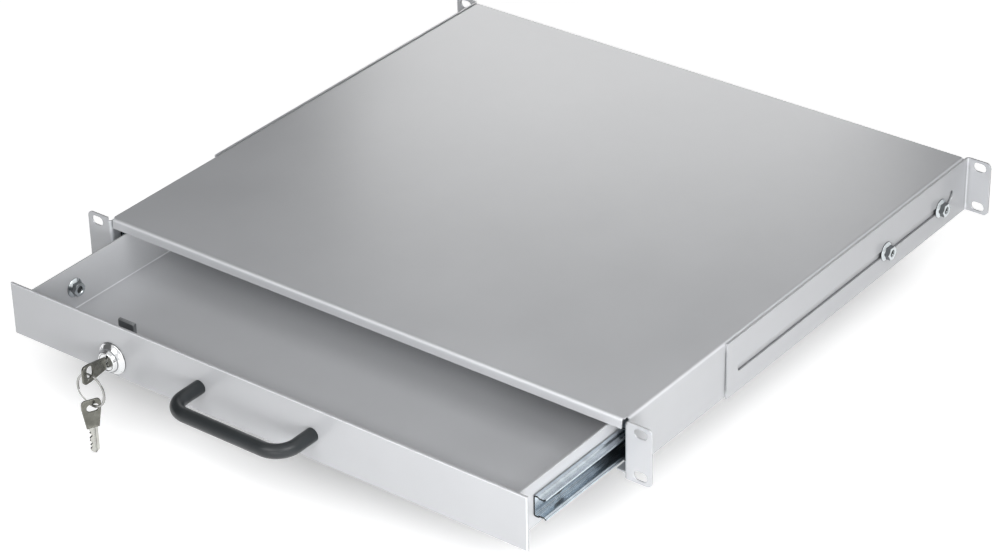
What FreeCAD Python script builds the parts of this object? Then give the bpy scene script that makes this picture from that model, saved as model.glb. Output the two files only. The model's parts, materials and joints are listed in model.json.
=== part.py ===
import FreeCAD, Part
import math
import os

V = FreeCAD.Vector

# Frame: X to the right, Y to the back, Z up. The origin is the centre of the front rack holes,
# on the rear faces of the ears, which seat on the front of the rack's posts.

# Rack standard, one unit high; edges are measured from the holes' centres
rack_hole_span = 465.1
rack_hole_rise = 31.75
rack_hole_width = 6.8
rack_hole_length = 10.4
ear_side_edge = 8.75
ear_end_edge = 5.825
ear_corner = 4.0

# Case
case_hole_inset = 11.55
case_depth = 420.0
case_sheet = 1.2
case_bend = 1.4
case_bottom_flange = 10.5
case_front_relief = 4.0
lip_end_gap = 3.2
lip_drop = 7.2

# Extension brackets, which reach back to the rear posts
bracket_sheet = 1.5
bracket_bend = 1.5
bracket_gap = 0.2
bracket_end_gap = 0.5
bracket_stand_out = 4.0
bracket_length = 312.0
bracket_slot_width = 5.6
bracket_slot_front_edge = 14.0
bracket_slot_rear_edge = 27.0
bracket_hook_radius = 7.0
bracket_hook_turn = 72.0

# Ball slides
slide_thickness = 12.7
slide_sheet = 1.2
slide_bend = 0.5
slide_drop = 3.5
slide_outer_front = 8.0
slide_rear_gap = 12.0
slide_closed_gap = 3.6
slide_inner_setback = 22.0
slide_flange_gap = 1.0
ball_diameter = 4.0
ball_row_height = 9.2
ball_pitch = 20.0
balls_per_row = 5
race_clearance = 0.1
race_depth = 0.9
race_floor_width = 3.0
cage_sheet = 0.5
cage_clearance = 0.4
cage_end = 8.0
cage_front_when_open = 14.0
buffer_length = 5.0
buffer_height = 15.0

# Drawer
drawer_out = 98.0
drawer_travel = 290.0
panel_side_gap = 2.5
panel_top_gap = 2.8
panel_thickness = 2.0
panel_edge = 0.5
panel_gap = 0.4
tray_sheet = 1.2
tray_bend = 1.2
tray_rear_setback = 5.0
tray_floor_gap = 0.6
tray_lip_gap = 1.3
tray_rear_height = 22.0
tray_front_height = 30.0
tray_corner_relief = 4.0
cable_notch_width = 70.0
cable_notch_drop = 14.0

# Studs and flange nuts
stud_diameter = 5.0
stud_head_diameter = 10.0
stud_hole_clearance = 0.15
stud_recess = 1.2
nut_flange_diameter = 14.0
nut_flange_height = 2.0
nut_flange_edge = 0.7
nut_across_flats = 9.2
nut_height = 5.6
nut_gap = 0.1
bracket_stud_setbacks = (108.6, 34.2)
tray_stud_front_edge = 25.0
tray_stud_rear_edge = 73.0
tray_studs_per_side = 3

# Handle
handle_span = 96.0
handle_rod = 10.0
handle_reach = 31.0
handle_bend = 15.0
handle_screw_diameter = 4.9
handle_screw_head = 9.5
handle_screw_head_height = 3.2
handle_screw_head_slope = 1.2
handle_screw_bite = 12.0
handle_thread_diameter = 5.0

# Lock
lock_side_edge = 92.5
lock_height = 13.5
rosette_diameter = 23.5
rosette_face_diameter = 14.0
rosette_height = 7.0
rosette_rim = 1.2
barrel_diameter = 17.0
barrel_clearance = 0.2
barrel_reach = 4.5
plug_diameter = 11.8
plug_clearance = 0.05
plug_face_recess = 0.4
lock_body_width = 25.0
lock_body_below = 10.8
lock_body_above = 11.0
lock_wing_span = 42.0
lock_wing_thickness = 3.0
lock_wing_height = 10.0
lock_screw_span = 33.0
lock_screw_diameter = 3.0
lock_screw_head = 5.6
lock_screw_head_height = 2.0
lock_cover_thickness = 1.2
bolt_width = 13.6
bolt_thickness = 3.0
bolt_setback = 14.6
bolt_clearance = 0.3
bolt_lip_gap = 0.8
bolt_below_axis = 8.0
bolt_nose = 0.8
crank_radius = 3.9
crank_pin_diameter = 2.8
crank_slot_clearance = 0.4

# Keys
key_thickness = 1.8
key_blade_height = 6.2
key_blade_length = 20.0
key_blade_tip = 2.2
key_shoulder_gap = 0.8
key_bow_length = 22.0
key_bow_width = 14.0
key_neck_width = 9.0
key_bow_corner = 3.0
key_hole_from_shoulder = 15.5
key_hole_width = 5.0
key_hole_low = 3.2
key_hole_high = 5.2
key_fit = 0.2
ring_diameter = 24.0
ring_wire = 1.6
ring_wire_slope = 0.4
ring_parting = 0.25
ring_hang = 13.6
spare_key_turn = -25.0

# Levels and places that follow from the sizes above
ear_height = rack_hole_rise + 2 * ear_end_edge
ear_half = rack_hole_span / 2 + ear_side_edge
case_top = ear_height / 2
case_bottom = -ear_height / 2
case_half = rack_hole_span / 2 - case_hole_inset
case_inside = case_half - case_sheet
lip_half = case_half - lip_end_gap
lip_bottom = case_top - lip_drop
bracket_height = ear_height - 2 * bracket_end_gap
bracket_rear = case_depth + bracket_stand_out
bracket_front = bracket_rear - bracket_length
bracket_slot_front = bracket_front + bracket_slot_front_edge
bracket_slot_rear = bracket_rear - bracket_slot_rear_edge
slide_level = -slide_drop
slide_web_inner = case_inside - slide_thickness
race_middle = slide_thickness / 2
ball_radius = ball_diameter / 2
inner_race = ball_row_height - ball_radius - race_clearance
outer_race = ball_row_height + ball_radius + race_clearance
slide_outer_back = case_depth - slide_rear_gap
panel_front = -(case_sheet + panel_gap + panel_thickness) - drawer_out
slide_inner_front = panel_front + slide_inner_setback
slide_inner_back = slide_outer_back - buffer_length - slide_closed_gap - drawer_out
cage_length = 2 * cage_end + ball_pitch * (balls_per_row - 1)
cage_front = cage_front_when_open + (drawer_travel - drawer_out) / 2
tray_front = panel_front + panel_thickness
tray_back = slide_inner_back - tray_rear_setback
tray_half = slide_web_inner
tray_inside = tray_half - tray_sheet
tray_bottom = case_bottom + tray_floor_gap
tray_top = lip_bottom - tray_lip_gap
panel_half = case_half - panel_side_gap
panel_bottom = tray_bottom
panel_top = case_top - panel_top_gap
panel_middle = (panel_bottom + panel_top) / 2
lock_offset = lock_side_edge - panel_half
lock_level = panel_bottom + lock_height
lock_seat = tray_front + tray_sheet
bolt_front = panel_front + bolt_setback
bolt_back = bolt_front + bolt_thickness
bolt_top = lip_bottom - bolt_lip_gap
plug_face = panel_front - rosette_height + plug_face_recess
plug_back = bolt_front - bolt_clearance
key_shoulder = plug_face - key_shoulder_gap
ring_plane = key_shoulder - key_hole_from_shoulder
ring_centre = V(lock_offset, ring_plane, lock_level - ring_hang)


# Shared shapes
def box(low_x, high_x, low_y, high_y, low_z, high_z):
    corner = V(low_x, low_y, low_z)
    return Part.makeBox(high_x - low_x, high_y - low_y, high_z - low_z, corner)


def rod(diameter, start, end):
    return Part.makeCylinder(diameter / 2, (end - start).Length, start, end - start)


def mirrored(shape):
    return shape.mirror(V(0, 0, 0), V(1, 0, 0))


def fused(shapes):
    return shapes[0].multiFuse(shapes[1:]).removeSplitter()


def both_sides(name, right_shape):
    """Writes the right-hand piece and its mirror image."""
    write(name + "_right", right_shape)
    write(name + "_left", mirrored(right_shape))


def write(name, shape):
    shape.exportStep(os.path.join("parts", name + ".step"))


def in_xz(y):
    return lambda a, b: V(a, y, b)


def in_yz(x):
    return lambda a, b: V(x, a, b)


def in_xy(z):
    return lambda a, b: V(a, b, z)


def extruded(edges, along):
    return Part.Face(Part.Wire(edges)).extrude(along)


def polygon(points, place, along):
    corners = [place(a, b) for a, b in points]
    return Part.Face(Part.makePolygon(corners + corners[:1])).extrude(along)


def sheet_side(points, offset, thickness, bend):
    """Points of one side of a bent sheet: plain points, and arcs as (start, middle, end)."""
    side = []
    for i, (a, b) in enumerate(points):
        here = V(a, b, 0)
        before = (here - V(*points[i - 1], 0)).normalize() if i > 0 else None
        after = (V(*points[i + 1], 0) - here).normalize() if i + 1 < len(points) else None
        if before is None or after is None:
            way = after or before
            side.append(here + V(-way.y, way.x, 0) * offset)
            continue
        normals = V(-before.y - after.y, before.x + after.x, 0)
        corner = here + normals * (offset / (1 + before.dot(after)))
        turns_left = before.cross(after).z > 0
        radius = bend + (thickness - offset if turns_left else offset)
        half_turn = before.getAngle(after) / 2
        tangent = radius * math.tan(half_turn)
        inward = (after - before).normalize()
        middle = corner + inward * (radius / math.cos(half_turn) - radius)
        side.append((corner - before * tangent, middle, corner + after * tangent))
    return side


def bent_sheet(points, thickness, bend, place, along):
    """A sheet of one thickness bent along points, lying to the left of that path."""
    loop = sheet_side(points, 0, thickness, bend)
    back = sheet_side(points, thickness, thickness, bend)
    for item in reversed(back):
        loop.append(item[::-1] if isinstance(item, tuple) else item)
    edges = []
    last = loop[-1]
    for item in loop:
        start = item[0] if isinstance(item, tuple) else item
        edges.append(Part.LineSegment(place(last.x, last.y), place(start.x, start.y)).toShape())
        if isinstance(item, tuple):
            arc = [place(point.x, point.y) for point in item]
            edges.append(Part.Arc(*arc).toShape())
            last = item[2]
        else:
            last = item
    return extruded(edges, along)


def oblong(length, width, centre, along, through, depth):
    """A round-ended slot cutter, long in the direction along and centred on its depth."""
    reach = along * ((length - width) / 2)
    start = centre - through * (depth / 2)
    ends = [rod(width, start + reach * s, start + reach * s + through * depth) for s in (-1, 1)]
    across = through.cross(along) * (width / 2)
    corners = [start - reach - across, start + reach - across,
               start + reach + across, start - reach + across]
    bar = Part.Face(Part.makePolygon(corners + corners[:1])).extrude(through * depth)
    return fused([bar] + ends)


def edges_along(shape, way):
    """The straight edges of a shape that run in one direction."""
    return [e for e in shape.Edges if math.isclose(abs(e.tangentAt(e.FirstParameter).dot(way)), 1)]


def rack_holes(y, side):
    """Cutters for the two oblong rack holes of one ear, whose sheet lies at y."""
    for level in (-rack_hole_rise / 2, rack_hole_rise / 2):
        centre = V(side * rack_hole_span / 2, y, level)
        yield oblong(rack_hole_length, rack_hole_width, centre, V(1, 0, 0), V(0, 1, 0), 4 * bracket_sheet)


def rounded_ear(low_y, high_y, inner_x, height):
    """The flat of a right-hand ear with its two outer corners rounded."""
    plate = box(inner_x, ear_half, low_y, high_y, -height / 2, height / 2)
    outer = [e for e in edges_along(plate, V(0, 1, 0)) if e.CenterOfMass.x > ear_half - ear_corner]
    return plate.makeFillet(ear_corner, outer)


# Studs and nuts
def stud(root, way, head_height, length):
    """A flat-headed stud whose head starts at root and whose shank points way."""
    head = rod(stud_head_diameter, root, root + way * head_height)
    return fused([head, rod(stud_diameter, root, root + way * length)])


def stud_hole(centre, way):
    return rod(stud_diameter + 2 * stud_hole_clearance, centre - way * stud_head_diameter,
               centre + way * stud_head_diameter)


def flange_nut(seat, way):
    """A hexagon nut with a conical flange, seated at seat and standing out along way."""
    edge = rod(nut_flange_diameter, seat, seat + way * nut_flange_edge)
    slope = nut_flange_height - nut_flange_edge
    cone = Part.makeCone(nut_flange_diameter / 2, nut_across_flats / 2, slope,
                         seat + way * nut_flange_edge, way)
    corner_radius = nut_across_flats / math.sqrt(3)
    turns = [math.radians(60 * i) for i in range(6)]
    hexagon = polygon([(corner_radius * math.cos(t), corner_radius * math.sin(t)) for t in turns],
                      lambda a, b: V(seat.x, seat.y + a, seat.z + b), way * nut_height)
    bore = rod(stud_diameter, seat - way, seat + way * (nut_height + 1))
    return fused([edge, cone, hexagon]).cut(bore)


def bracket_stud_roots():
    return [V(case_inside - slide_sheet, case_depth - y, slide_level) for y in bracket_stud_setbacks]


def tray_stud_roots():
    first = slide_inner_front + tray_stud_front_edge
    pitch = (slide_inner_back - tray_stud_rear_edge - first) / (tray_studs_per_side - 1)
    places = [first + i * pitch for i in range(tray_studs_per_side)]
    return [V(slide_web_inner + slide_sheet, y, slide_level) for y in places]


def make_studs_and_nuts():
    out = V(1, 0, 0)
    nut_seat = case_half + bracket_gap + bracket_sheet + nut_gap
    studs = [stud(root, out, slide_sheet, nut_seat + nut_height - stud_recess - root.x)
             for root in bracket_stud_roots()]
    nuts = [flange_nut(V(nut_seat, root.y, root.z), out) for root in bracket_stud_roots()]
    both_sides("bracket_studs", Part.makeCompound(studs))
    both_sides("bracket_nuts", Part.makeCompound(nuts))
    studs = [stud(root, -out, slide_sheet, root.x - tray_inside + nut_height - stud_recess)
             for root in tray_stud_roots()]
    nuts = [flange_nut(V(tray_inside, root.y, root.z), -out) for root in tray_stud_roots()]
    both_sides("tray_studs", Part.makeCompound(studs))
    both_sides("tray_nuts", Part.makeCompound(nuts))


# Case
def case_ear():
    """The front end of the right-hand wall with the ear folded out of it."""
    fold_top = case_top - case_bend - case_sheet
    path = [(case_inside, case_front_relief), (case_inside, -case_sheet),
            (ear_half - ear_corner, -case_sheet)]
    fold = bent_sheet(path, case_sheet, case_bend, in_xy(case_bottom), V(0, 0, fold_top - case_bottom))
    flat = rounded_ear(-case_sheet, 0, case_half + case_bend, ear_height)
    ear = fused([fold, flat])
    for cutter in rack_holes(0, 1):
        ear = ear.cut(cutter)
    return ear


def make_case():
    flange_end = case_half - case_bottom_flange
    wrap = [(flange_end, case_bottom), (case_half, case_bottom), (case_half, case_top),
            (-case_half, case_top), (-case_half, case_bottom), (-flange_end, case_bottom)]
    cover = bent_sheet(wrap, case_sheet, case_bend, in_xz(case_front_relief),
                       V(0, case_depth - case_front_relief, 0))
    lip_path = [(case_front_relief, case_top), (-case_sheet, case_top), (-case_sheet, lip_bottom)]
    lip = bent_sheet(lip_path, case_sheet, case_bend, in_yz(-lip_half), V(2 * lip_half, 0, 0))
    flat_half = case_half - case_bend - case_sheet
    brow = box(-flat_half, flat_half, case_bend, case_front_relief, case_top - case_sheet, case_top)
    ear = case_ear()
    shell = fused([cover, lip, brow, ear, mirrored(ear)])
    for root in bracket_stud_roots():
        hole = stud_hole(V(case_half, root.y, root.z), V(1, 0, 0))
        shell = shell.cut(hole).cut(mirrored(hole))
    write("case_shell", shell)


# Extension brackets
def bracket_slot():
    """The long stud slot, whose rear end turns upwards in a short hook."""
    width = bracket_slot_width
    wall = V(case_half + bracket_gap + bracket_sheet / 2, 0, slide_level)
    depth = 4 * bracket_sheet
    middle = wall + V(0, (bracket_slot_front + bracket_slot_rear) / 2, 0)
    length = bracket_slot_rear - bracket_slot_front + width / 2
    run = oblong(length, width, middle, V(0, 1, 0), V(1, 0, 0), depth)
    hook_centre = wall + V(-depth / 2, bracket_slot_rear - width / 2, bracket_hook_radius)
    radii = [bracket_hook_radius + s * width / 2 for s in (1, -1)]
    outside, inside = [Part.makeCylinder(radius, depth, hook_centre, V(1, 0, 0)) for radius in radii]
    turn = math.radians(bracket_hook_turn)
    reach = 2 * bracket_hook_radius
    turned = (reach * math.sin(turn), -reach * math.cos(turn))
    wedge = polygon([(0, 0), (0, -reach), (reach, -reach), turned],
                    lambda a, b: hook_centre + V(0, a, b), V(depth, 0, 0))
    tip = hook_centre + V(0, math.sin(turn), -math.cos(turn)) * bracket_hook_radius
    hook_end = rod(width, tip, tip + V(depth, 0, 0))
    return fused([run, outside.cut(inside).common(wedge), hook_end])


def make_brackets():
    face = case_half + bracket_gap
    path = [(ear_half - ear_corner, bracket_rear), (face, bracket_rear), (face, bracket_front)]
    fold = bent_sheet(path, bracket_sheet, bracket_bend, in_xy(-bracket_height / 2),
                      V(0, 0, bracket_height))
    ear = rounded_ear(bracket_rear - bracket_sheet, bracket_rear, face + 2 * bracket_sheet, bracket_height)
    bracket = fused([fold, ear]).cut(bracket_slot())
    for cutter in rack_holes(bracket_rear, 1):
        bracket = bracket.cut(cutter)
    both_sides("extension_bracket", bracket)


# Ball slides
def with_race(free_end, web, flat, race):
    """Upper half of a slide member's section, from the free edge of the flange to the web."""
    way = 1 if web > free_end else -1
    race_half = race_floor_width / 2
    slope = race_half + race_depth
    return [(free_end, flat), (race_middle - way * slope, flat), (race_middle - way * race_half, race),
            (race_middle + way * race_half, race), (race_middle + way * slope, flat), (web, flat)]


def whole_section(upper):
    """The full section, as case-side depths turned into X, from the upper flange round to the lower."""
    lower = [(depth, -level) for depth, level in reversed(upper)]
    return [(case_inside - depth, slide_level + level) for depth, level in upper + lower]


def slide_outer():
    race = outer_race + slide_sheet
    upper = with_race(slide_thickness - slide_sheet - slide_flange_gap, 0, race - race_depth, race)
    section = whole_section(upper)[::-1]
    length = slide_outer_back - slide_outer_front
    member = bent_sheet(section, slide_sheet, slide_bend, in_xz(slide_outer_front), V(0, length, 0))
    for root in bracket_stud_roots():
        member = member.cut(rod(stud_head_diameter, root, root + V(slide_sheet, 0, 0)))
    return member


def slide_inner():
    free_end = slide_sheet + 2 * cage_clearance + cage_sheet + slide_bend
    upper = with_race(free_end, slide_thickness, inner_race + race_depth, inner_race)
    length = slide_inner_back - slide_inner_front
    member = bent_sheet(whole_section(upper), slide_sheet, slide_bend, in_xz(slide_inner_front),
                        V(0, length, 0))
    for root in tray_stud_roots():
        member = member.cut(rod(stud_head_diameter, root - V(slide_sheet, 0, 0), root))
    return member


def ball_places():
    """Centres of the balls of the right-hand slide; the cage trails the drawer at half its speed."""
    for row in (-1, 1):
        for i in range(balls_per_row):
            along = cage_front + cage_end + i * ball_pitch
            yield V(case_inside - race_middle, along, slide_level + row * ball_row_height)


def ball_cage():
    web = slide_sheet + cage_clearance
    free_end = slide_thickness - slide_sheet - slide_flange_gap
    level = ball_row_height + cage_sheet / 2
    section = whole_section([(free_end, level), (web, level)])[::-1]
    cage = bent_sheet(section, cage_sheet, slide_bend, in_xz(cage_front), V(0, cage_length, 0))
    for centre in ball_places():
        pocket = V(0, 0, ball_radius)
        cage = cage.cut(rod(ball_diameter + 2 * race_clearance, centre - pocket, centre + pocket))
    return cage


def make_slides():
    both_sides("slide_outer", slide_outer())
    both_sides("slide_inner", slide_inner())
    both_sides("ball_cage", ball_cage())
    balls = [Part.makeSphere(ball_radius, centre) for centre in ball_places()]
    both_sides("slide_balls", Part.makeCompound(balls))
    back = slide_outer_back
    inner_side = slide_web_inner + slide_sheet + slide_flange_gap
    half = buffer_height / 2
    both_sides("slide_buffer", box(inner_side, case_inside - slide_sheet, back - buffer_length, back,
                                   slide_level - half, slide_level + half))


# Drawer tray and front panel
def handle_places():
    return [V(side * handle_span / 2, panel_front, panel_middle) for side in (-1, 1)]


def front_holes():
    """Cutters through the front panel and the tray's front wall, for the lock and the handle."""
    reach = V(0, panel_thickness + 2 * tray_sheet, 0)
    barrel = V(lock_offset, panel_front, lock_level)
    yield rod(barrel_diameter + 2 * barrel_clearance, barrel - reach, barrel + reach)
    for place in handle_places():
        yield rod(handle_thread_diameter + 2 * stud_hole_clearance, place - reach, place + reach)
    for side in (-1, 1):
        screw = V(lock_offset + side * lock_screw_span / 2, tray_front, lock_level)
        yield rod(lock_screw_diameter, screw, screw + reach)


def make_tray():
    bend = tray_bend + tray_sheet
    wrap = [(-tray_half, tray_top), (-tray_half, tray_bottom),
            (tray_half, tray_bottom), (tray_half, tray_top)]
    relief = tray_corner_relief
    trough = bent_sheet(wrap, tray_sheet, tray_bend, in_xz(tray_front + relief),
                        V(0, tray_back - tray_front - relief, 0))
    wall_end = box(tray_inside, tray_half, tray_front, tray_front + relief, tray_bottom + bend, tray_top)
    flat_half = tray_half - bend
    front_path = [(tray_front, tray_bottom + tray_front_height), (tray_front, tray_bottom),
                  (tray_front + relief, tray_bottom)]
    front = bent_sheet(front_path, tray_sheet, tray_bend, in_yz(-flat_half), V(2 * flat_half, 0, 0))
    tray = fused([trough, wall_end, mirrored(wall_end), front])
    for cutter in front_holes():
        tray = tray.cut(cutter)
    for root in tray_stud_roots():
        hole = stud_hole(V(tray_half, root.y, root.z), V(1, 0, 0))
        tray = tray.cut(hole).cut(mirrored(hole))
    write("tray", tray)


def make_tray_rear():
    """The rear wall: a plate welded across the tray's open end, with a notch for the keyboard's lead."""
    top = tray_bottom + tray_rear_height
    low = tray_bottom + tray_sheet
    wall = box(-tray_inside, tray_inside, tray_back - tray_sheet, tray_back, low, top)
    low_corners = [e for e in edges_along(wall, V(0, 1, 0)) if e.CenterOfMass.z < (low + top) / 2]
    wall = wall.makeChamfer(tray_bend, low_corners)
    half = cable_notch_width / 2
    notch = box(-half, half, tray_back - tray_sheet, tray_back, top - cable_notch_drop, top)
    write("tray_rear", wall.cut(notch))


def make_panel():
    panel = box(-panel_half, panel_half, panel_front, tray_front, panel_bottom, panel_top)
    face_edges = [e for e in panel.Edges if e.BoundBox.YMax < tray_front - panel_edge]
    panel = panel.makeChamfer(panel_edge, face_edges)
    for cutter in list(front_holes())[:3]:
        panel = panel.cut(cutter)
    write("front_panel", panel)


# Handle
def make_handle():
    bar = panel_front - handle_reach
    half = handle_span / 2
    turn_in = handle_bend * (1 - math.cos(math.pi / 4))

    def at(x, y):
        return V(x, y, panel_middle)

    def bend_arc(side):
        leg = at(side * half, bar + handle_bend)
        middle = at(side * (half - turn_in), bar + turn_in)
        return [leg, middle, at(side * (half - handle_bend), bar)]

    left, right = bend_arc(-1), bend_arc(1)
    spine = Part.Wire([Part.LineSegment(at(-half, panel_front), left[0]).toShape(),
                       Part.Arc(*left).toShape(),
                       Part.LineSegment(left[2], right[2]).toShape(),
                       Part.Arc(*right[::-1]).toShape(),
                       Part.LineSegment(right[0], at(half, panel_front)).toShape()])
    ring = Part.Wire(Part.makeCircle(handle_rod / 2, at(-half, panel_front), V(0, 1, 0)))
    handle = spine.makePipeShell([ring], True, False)
    for place in handle_places():
        handle = handle.cut(rod(handle_thread_diameter, place, place - V(0, handle_screw_bite + 1, 0)))
    write("handle", handle)
    screws = []
    for place in handle_places():
        seat = V(place.x, lock_seat, place.z)
        head = rod(handle_screw_head, seat, seat + V(0, handle_screw_head_height, 0))
        rim = [e for e in head.Edges if e.BoundBox.YMin > seat.y + handle_screw_head_height / 2]
        head = head.makeChamfer(handle_screw_head_slope, rim)
        screws.append(fused([head, rod(handle_screw_diameter, place - V(0, handle_screw_bite, 0), seat)]))
    write("handle_screws", Part.makeCompound(screws))


# Lock
def lock_point(y, across=0, up=0):
    return V(lock_offset + across, y, lock_level + up)


def make_rosette():
    """A conical collar round the key plug, with a flat rim on the panel."""
    rim = rosette_diameter / 2
    face = rosette_face_diameter / 2
    bore = plug_diameter / 2 + barrel_clearance
    seat_bore = barrel_diameter / 2 + barrel_clearance
    step = panel_front - barrel_reach - barrel_clearance
    front = panel_front - rosette_height
    profile = [(seat_bore, panel_front), (rim, panel_front), (rim, panel_front - rosette_rim),
               (face, front), (bore, front), (bore, step), (seat_bore, step)]
    corners = [lock_point(y, radius) for radius, y in profile]
    section = Part.Face(Part.makePolygon(corners + corners[:1]))
    write("lock_rosette", section.revolve(lock_point(panel_front), V(0, 1, 0), 360))


def make_lock_body():
    half = lock_body_width / 2
    low = lock_level - lock_body_below
    high = lock_level + lock_body_above
    back = bolt_back + bolt_clearance
    block = box(lock_offset - half, lock_offset + half, lock_seat, back, low, high)
    wing = lock_wing_span / 2
    wing_half = lock_wing_height / 2
    wings = box(lock_offset - wing, lock_offset + wing, lock_seat, lock_seat + lock_wing_thickness,
                lock_level - wing_half, lock_level + wing_half)
    barrel = rod(barrel_diameter, lock_point(panel_front - barrel_reach), lock_point(lock_seat))
    body = fused([block, wings, barrel])
    guide = bolt_width / 2 + bolt_clearance
    channel = box(lock_offset - guide, lock_offset + guide, plug_back, back, low, high)
    bore = rod(plug_diameter + 2 * plug_clearance, lock_point(panel_front - rosette_height),
               lock_point(back))
    body = body.cut(channel).cut(bore)
    cover = box(lock_offset - half, lock_offset + half, back, back + lock_cover_thickness, low, high)
    screws = []
    for side in (-1, 1):
        across = side * lock_screw_span / 2
        seat = lock_point(lock_seat + lock_wing_thickness, across)
        shank = rod(lock_screw_diameter, lock_point(tray_front, across), seat)
        body = body.cut(shank)
        screws.append(fused([shank, rod(lock_screw_head, seat, seat + V(0, lock_screw_head_height, 0))]))
    write("lock_housing", body)
    write("lock_cover", cover)
    write("lock_screws", Part.makeCompound(screws))


def crank_offset():
    """Where the plug's crank pin stands at rest, from the plug's axis: low and to the left."""
    return crank_radius * math.sin(math.pi / 4)


def make_plug():
    plug = rod(plug_diameter, lock_point(plug_face), lock_point(plug_back))
    keyway_half = key_thickness / 2 + key_fit
    keyway_reach = key_blade_height / 2 + key_fit
    keyway_end = key_shoulder + key_blade_length + key_fit
    keyway = box(lock_offset - keyway_half, lock_offset + keyway_half, plug_face, keyway_end,
                 lock_level - keyway_reach, lock_level + keyway_reach)
    offset = crank_offset()
    pin = rod(crank_pin_diameter, lock_point(plug_back, -offset, -offset),
              lock_point(bolt_back, -offset, -offset))
    write("lock_plug", fused([plug, pin]).cut(keyway))


def make_bolt():
    """The rising bolt: the crank pin turns in its cross slot and lifts it behind the case's lip."""
    half = bolt_width / 2
    low = lock_level - bolt_below_axis
    bolt = box(lock_offset - half, lock_offset + half, bolt_front, bolt_back, low, bolt_top)
    nose = [e for e in edges_along(bolt, V(1, 0, 0)) if e.CenterOfMass.z > lock_level]
    bolt = bolt.makeChamfer(bolt_nose, nose)
    slot_half = crank_pin_diameter / 2 + crank_slot_clearance
    level = lock_level - crank_offset()
    slot = box(lock_offset - crank_radius - slot_half, lock_offset - crank_offset() + slot_half,
               bolt_front, bolt_back, level - slot_half, level + slot_half)
    write("lock_bolt", bolt.cut(slot))


# Keys and key ring
def key_blank():
    """A key lying along +X, blade to -X from its shoulder at the origin, flat in X and Y."""
    neck = key_neck_width / 2
    bow = key_bow_width / 2
    start = -key_thickness / 2
    thick = V(0, 0, key_thickness)
    outline = [(0, -neck), (key_hole_from_shoulder, -bow), (key_bow_length, -bow),
               (key_bow_length, bow), (key_hole_from_shoulder, bow), (0, neck)]
    head = polygon(outline, in_xy(start), thick)
    ends = [e for e in edges_along(head, V(0, 0, 1)) if e.CenterOfMass.x > key_hole_from_shoulder + neck]
    head = head.makeFillet(key_bow_corner, ends)
    blade_half = key_blade_height / 2
    blade = [(0, -blade_half), (0, blade_half), (key_blade_tip - key_blade_length, blade_half),
             (-key_blade_length, 0), (key_blade_tip - key_blade_length, -blade_half)]
    hole_middle = V(key_hole_from_shoulder, (key_hole_high - key_hole_low) / 2, 0)
    hole = oblong(key_hole_low + key_hole_high, key_hole_width, hole_middle, V(0, 1, 0), V(0, 0, 1),
                  2 * key_thickness)
    return fused([head, polygon(blade, in_xy(start), thick)]).cut(hole)


def split_ring():
    """Two turns of flattened wire side by side, parted by a groove round the outside."""
    half = ring_wire / 2
    flat = half - ring_wire_slope
    section = [(-half, -flat), (-flat, -half), (flat, -half), (half, -flat), (half, flat),
               (flat, half), (ring_parting, half), (0, half - ring_parting), (-ring_parting, half),
               (-flat, half), (-half, flat)]
    corners = [ring_centre + V(ring_diameter / 2 + out, along, 0) for along, out in section]
    return Part.Face(Part.makePolygon(corners + corners[:1])).revolve(ring_centre, V(0, 1, 0), 360)


def make_keys():
    in_lock = key_blank()
    in_lock.rotate(V(0, 0, 0), V(1, 0, 0), 90)
    in_lock.rotate(V(0, 0, 0), V(0, 0, 1), -90)
    in_lock.translate(lock_point(key_shoulder))
    write("lock_key", in_lock)
    write("key_ring", split_ring())
    spare = key_blank()
    hole_middle = (key_hole_high - key_hole_low) / 2
    wire_in_hole = key_hole_from_shoulder + (key_hole_width - ring_wire) / 2 - race_clearance
    spare.translate(V(-wire_in_hole, -hole_middle, 0))
    spare.rotate(V(0, 0, 0), V(0, 1, 0), -90)
    spare.rotate(V(0, 0, 0), V(0, 0, 1), spare_key_turn)
    spare.translate(ring_centre - V(0, 0, ring_diameter / 2))
    write("spare_key", spare)


os.makedirs("parts", exist_ok=True)
make_case()
make_brackets()
make_studs_and_nuts()
make_slides()
make_tray()
make_tray_rear()
make_panel()
make_handle()
make_rosette()
make_lock_body()
make_plug()
make_bolt()
make_keys()
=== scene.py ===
import json
import math

import bmesh
import bpy
from mathutils import Matrix, Vector


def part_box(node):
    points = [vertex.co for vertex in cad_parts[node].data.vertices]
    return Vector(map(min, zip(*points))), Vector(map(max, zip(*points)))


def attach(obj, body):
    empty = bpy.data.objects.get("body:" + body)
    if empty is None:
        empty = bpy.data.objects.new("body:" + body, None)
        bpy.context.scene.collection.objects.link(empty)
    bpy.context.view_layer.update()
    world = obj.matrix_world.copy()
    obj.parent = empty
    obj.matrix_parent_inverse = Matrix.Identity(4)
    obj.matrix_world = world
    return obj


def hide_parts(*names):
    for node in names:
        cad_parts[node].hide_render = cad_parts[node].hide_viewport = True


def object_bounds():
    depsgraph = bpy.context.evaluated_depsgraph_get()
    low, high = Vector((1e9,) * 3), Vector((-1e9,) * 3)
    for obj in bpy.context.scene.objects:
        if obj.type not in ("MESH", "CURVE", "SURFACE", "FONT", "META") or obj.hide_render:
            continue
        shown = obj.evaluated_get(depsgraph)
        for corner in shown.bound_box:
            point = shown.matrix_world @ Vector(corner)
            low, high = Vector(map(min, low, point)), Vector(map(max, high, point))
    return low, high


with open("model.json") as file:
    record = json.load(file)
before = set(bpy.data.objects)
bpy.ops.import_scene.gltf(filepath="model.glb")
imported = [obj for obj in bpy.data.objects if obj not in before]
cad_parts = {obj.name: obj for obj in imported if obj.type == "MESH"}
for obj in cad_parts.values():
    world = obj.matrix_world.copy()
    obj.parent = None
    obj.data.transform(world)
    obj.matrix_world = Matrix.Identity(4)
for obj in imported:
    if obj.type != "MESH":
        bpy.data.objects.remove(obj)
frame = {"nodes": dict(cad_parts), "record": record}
cad_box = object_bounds()
cad = frame["nodes"]

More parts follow.
